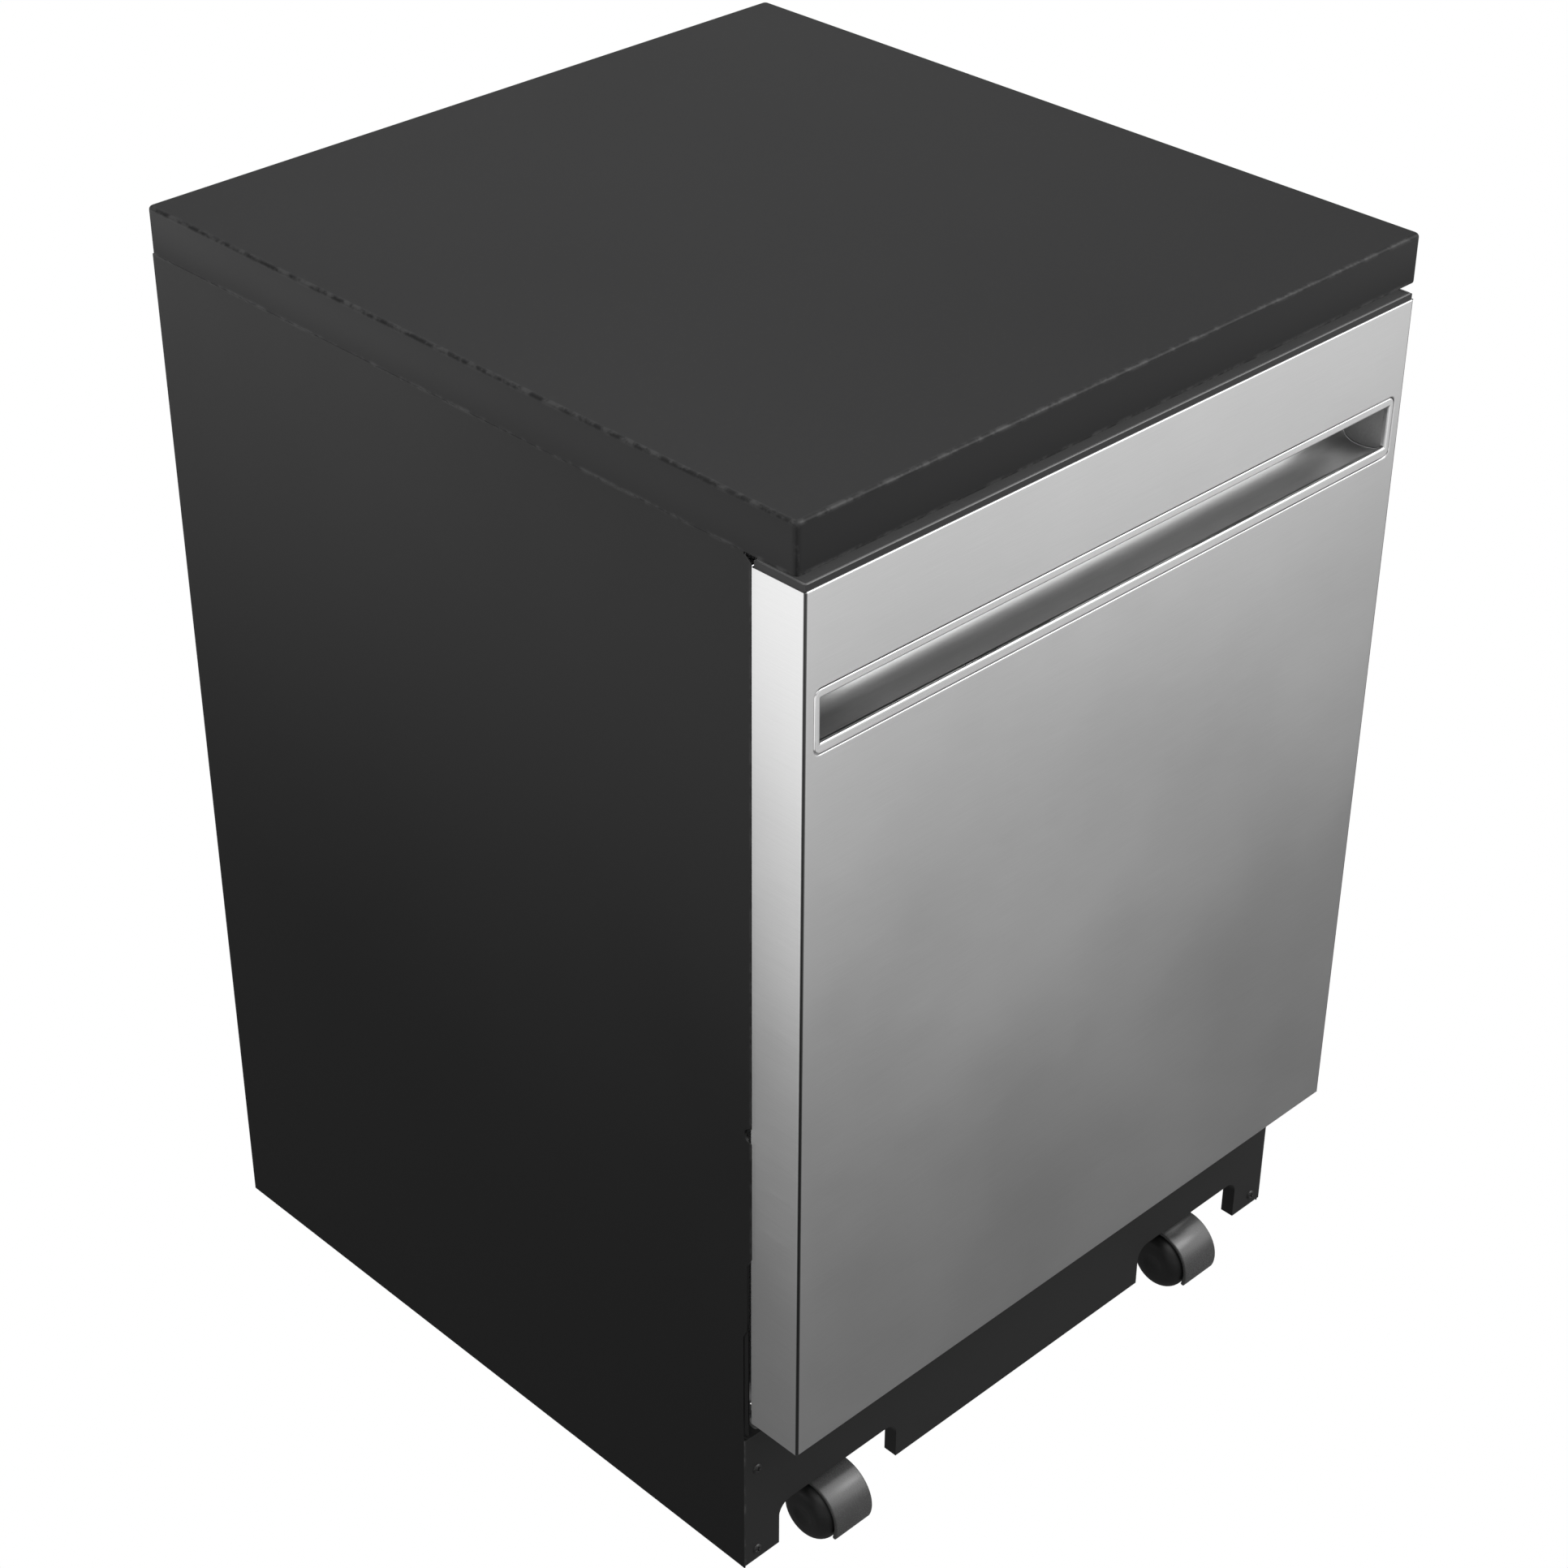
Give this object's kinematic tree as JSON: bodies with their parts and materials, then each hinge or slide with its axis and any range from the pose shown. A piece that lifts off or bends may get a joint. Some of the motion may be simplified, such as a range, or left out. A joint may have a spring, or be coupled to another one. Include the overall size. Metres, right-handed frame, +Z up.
{
  "type": "dishwasher",
  "caption": "Free-standing dishwasher on swivel casters: black cabinet and worktop, brushed steel drop-down door with a full-width recessed handle, racks and spray arms inside.",
  "frame": {"origin": "under the middle of the machine, on the floor", "axes": "+Z up, -Y out of the door's front, +X to the right seen from the front"},
  "size_m": [0.61, 0.6582, 0.932],
  "materials": {
    "worktop_black": "satin black laminate",
    "cabinet_black": "satin black enamel",
    "back_steel": "zinc coated sheet",
    "frame_black": "dull black paint",
    "screw_steel": "zinc plated",
    "tub_steel": "fine brushed",
    "door_steel": "brushed across",
    "seal_rubber": "matte",
    "sump_grey": "moulded",
    "filter_mesh": "perforated",
    "arm_grey": "moulded",
    "heater_sheath": "sheathed",
    "pump_black": "moulded",
    "bay_black": "moulded",
    "bay_grey": "moulded",
    "fitting_brass": "turned",
    "rack_wire": "nylon coated wire",
    "basket_grey": "moulded",
    "handle_metal": "satin",
    "handle_recess": "satin",
    "cap_grey": "dark grey moulded",
    "lens_smoke": "smoked window",
    "button_grey": "satin",
    "dispenser_grey": "moulded",
    "dispenser_cap": "moulded",
    "hood_black": "satin",
    "wheel_black": "matte"
  },
  "bodies": {
    "cabinet": {"back_panel": "back_steel", "base_frame": "frame_black", "circulation_pump": "pump_black", "cord_gland": "bay_black", "door_springs": "screw_steel", "drain_outlet": "bay_grey", "drain_pump": "pump_black", "filter_plate": "filter_mesh", "heater": "heater_sheath", "hinge_brackets": "frame_black", "hinge_pins": "screw_steel", "hose_bay": "bay_black", "inlet_valve": "fitting_brass", "kick_plate": "cabinet_black", "kick_screws": "screw_steel", "latch_housing": "bay_black", "roof_sprinkler": "arm_grey", "side_panel_left": "cabinet_black", "side_panel_right": "cabinet_black", "spray_riser": "arm_grey", "spray_tower": "arm_grey", "sump": "sump_grey", "tub": "tub_steel", "tub_seal": "seal_rubber", "upper_rack_rollers": "arm_grey", "worktop": "worktop_black"},
    "door": {"door_skin": "door_steel", "handle_frame": "handle_metal", "handle_cup": "handle_recess", "control_strip": "cap_grey", "display_lens": "lens_smoke", "door_liner": "tub_steel", "door_strike": "screw_steel", "hinge_arms": "frame_black", "dispenser_body": "dispenser_grey"},
    "dispenser_lid": {"dispenser_lid": "dispenser_grey"},
    "rinse_aid_cap": {"rinse_aid_cap": "dispenser_cap"},
    "latch_pawl": {"latch_pawl": "screw_steel"},
    "water_float": {"water_float": "arm_grey"},
    "filter_cup": {"filter_cup": "sump_grey"},
    "lower_spray_arm": {"lower_spray_arm": "arm_grey"},
    "upper_rack": {"upper_rack": "rack_wire", "upper_rack_rails": "tub_steel", "upper_feed_pipe": "arm_grey"},
    "upper_spray_arm": {"upper_spray_arm": "arm_grey"},
    "lower_rack": {"lower_rack": "rack_wire", "lower_rack_wheels": "arm_grey", "cutlery_basket": "basket_grey"},
    "button_1": {"button_1": "button_grey"},
    "button_2": {"button_2": "button_grey"},
    "button_3": {"button_3": "button_grey"},
    "button_4": {"button_4": "button_grey"},
    "caster_front_left": {"caster_hood_front_left": "hood_black"},
    "wheels_front_left": {"caster_wheels_front_left": "wheel_black"},
    "caster_rear_left": {"caster_hood_rear_left": "hood_black"},
    "wheels_rear_left": {"caster_wheels_rear_left": "wheel_black"},
    "caster_front_right": {"caster_hood_front_right": "hood_black"},
    "wheels_front_right": {"caster_wheels_front_right": "wheel_black"},
    "caster_rear_right": {"caster_hood_rear_right": "hood_black"},
    "wheels_rear_right": {"caster_wheels_rear_right": "wheel_black"}
  },
  "joints": [
    {"name": "door_hinge", "type": "hinge", "parent": "cabinet", "child": "door", "pos_m": [0, -0.283, 0.179], "axis": [1, 0, 0], "range_deg": [0, 90]},
    {"name": "upper_rack_slide", "type": "slide", "parent": "cabinet", "child": "upper_rack", "axis": [0, -1, 0], "range_m": [0, 0.32]},
    {"name": "lower_rack_slide", "type": "slide", "parent": "cabinet", "child": "lower_rack", "axis": [0, -1, 0], "range_m": [0, 0.21]},
    {"name": "lower_arm_spin", "type": "hinge", "parent": "cabinet", "child": "lower_spray_arm", "pos_m": [0, 0.02, 0.235], "axis": [0, 0, 1], "continuous": true},
    {"name": "upper_arm_spin", "type": "hinge", "parent": "upper_rack", "child": "upper_spray_arm", "pos_m": [0, 0.02, 0.515], "axis": [0, 0, 1], "continuous": true},
    {"name": "float_lift", "type": "slide", "parent": "cabinet", "child": "water_float", "axis": [0, 0, 1], "range_m": [0, 0.008]},
    {"name": "filter_twist", "type": "hinge", "parent": "cabinet", "child": "filter_cup", "pos_m": [0.056, 0.02, 0.17], "axis": [0, 0, 1], "range_deg": [0, 90]},
    {"name": "dispenser_slide", "type": "slide", "parent": "door", "child": "dispenser_lid", "axis": [0, 0, -1], "range_m": [0, 0.08]},
    {"name": "rinse_cap_twist", "type": "hinge", "parent": "door", "child": "rinse_aid_cap", "pos_m": [-0.055, -0.255, 0.53], "axis": [0, 1, 0], "range_deg": [0, 90]},
    {"name": "latch_pawl_pivot", "type": "hinge", "parent": "cabinet", "child": "latch_pawl", "pos_m": [0, -0.253, 0.877], "axis": [1, 0, 0], "range_deg": [0, 8], "stiffness_Nm_per_rad": 0.2, "springref_deg": -5.73},
    {"name": "button_1_press", "type": "slide", "parent": "door", "child": "button_1", "axis": [0, 0, -1], "range_m": [0, 0.0015], "stiffness_N_per_m": 600, "springref_m": -0.0005},
    {"name": "button_2_press", "type": "slide", "parent": "door", "child": "button_2", "axis": [0, 0, -1], "range_m": [0, 0.0015], "stiffness_N_per_m": 600, "springref_m": -0.0005},
    {"name": "button_3_press", "type": "slide", "parent": "door", "child": "button_3", "axis": [0, 0, -1], "range_m": [0, 0.0015], "stiffness_N_per_m": 600, "springref_m": -0.0005},
    {"name": "button_4_press", "type": "slide", "parent": "door", "child": "button_4", "axis": [0, 0, -1], "range_m": [0, 0.0015], "stiffness_N_per_m": 600, "springref_m": -0.0005},
    {"name": "swivel_front_left", "type": "hinge", "parent": "cabinet", "child": "caster_front_left", "pos_m": [-0.206, -0.246, 0.06], "axis": [0, 0, 1], "continuous": true},
    {"name": "roll_front_left", "type": "hinge", "parent": "caster_front_left", "child": "wheels_front_left", "pos_m": [-0.206, -0.268, 0.0255], "axis": [1, 0, 0], "continuous": true},
    {"name": "swivel_rear_left", "type": "hinge", "parent": "cabinet", "child": "caster_rear_left", "pos_m": [-0.206, 0.246, 0.06], "axis": [0, 0, 1], "continuous": true},
    {"name": "roll_rear_left", "type": "hinge", "parent": "caster_rear_left", "child": "wheels_rear_left", "pos_m": [-0.206, 0.224, 0.0255], "axis": [1, 0, 0], "continuous": true},
    {"name": "swivel_front_right", "type": "hinge", "parent": "cabinet", "child": "caster_front_right", "pos_m": [0.206, -0.246, 0.06], "axis": [0, 0, 1], "continuous": true},
    {"name": "roll_front_right", "type": "hinge", "parent": "caster_front_right", "child": "wheels_front_right", "pos_m": [0.206, -0.268, 0.0255], "axis": [1, 0, 0], "continuous": true},
    {"name": "swivel_rear_right", "type": "hinge", "parent": "cabinet", "child": "caster_rear_right", "pos_m": [0.206, 0.246, 0.06], "axis": [0, 0, 1], "continuous": true},
    {"name": "roll_rear_right", "type": "hinge", "parent": "caster_rear_right", "child": "wheels_rear_right", "pos_m": [0.206, 0.224, 0.0255], "axis": [1, 0, 0], "continuous": true}
  ],
  "couplings": [
    {"joint": "upper_rack_slide", "follows": "door_hinge", "m_per_rad": 0.2},
    {"joint": "lower_rack_slide", "follows": "door_hinge", "m_per_rad": 0.13}
  ]
}
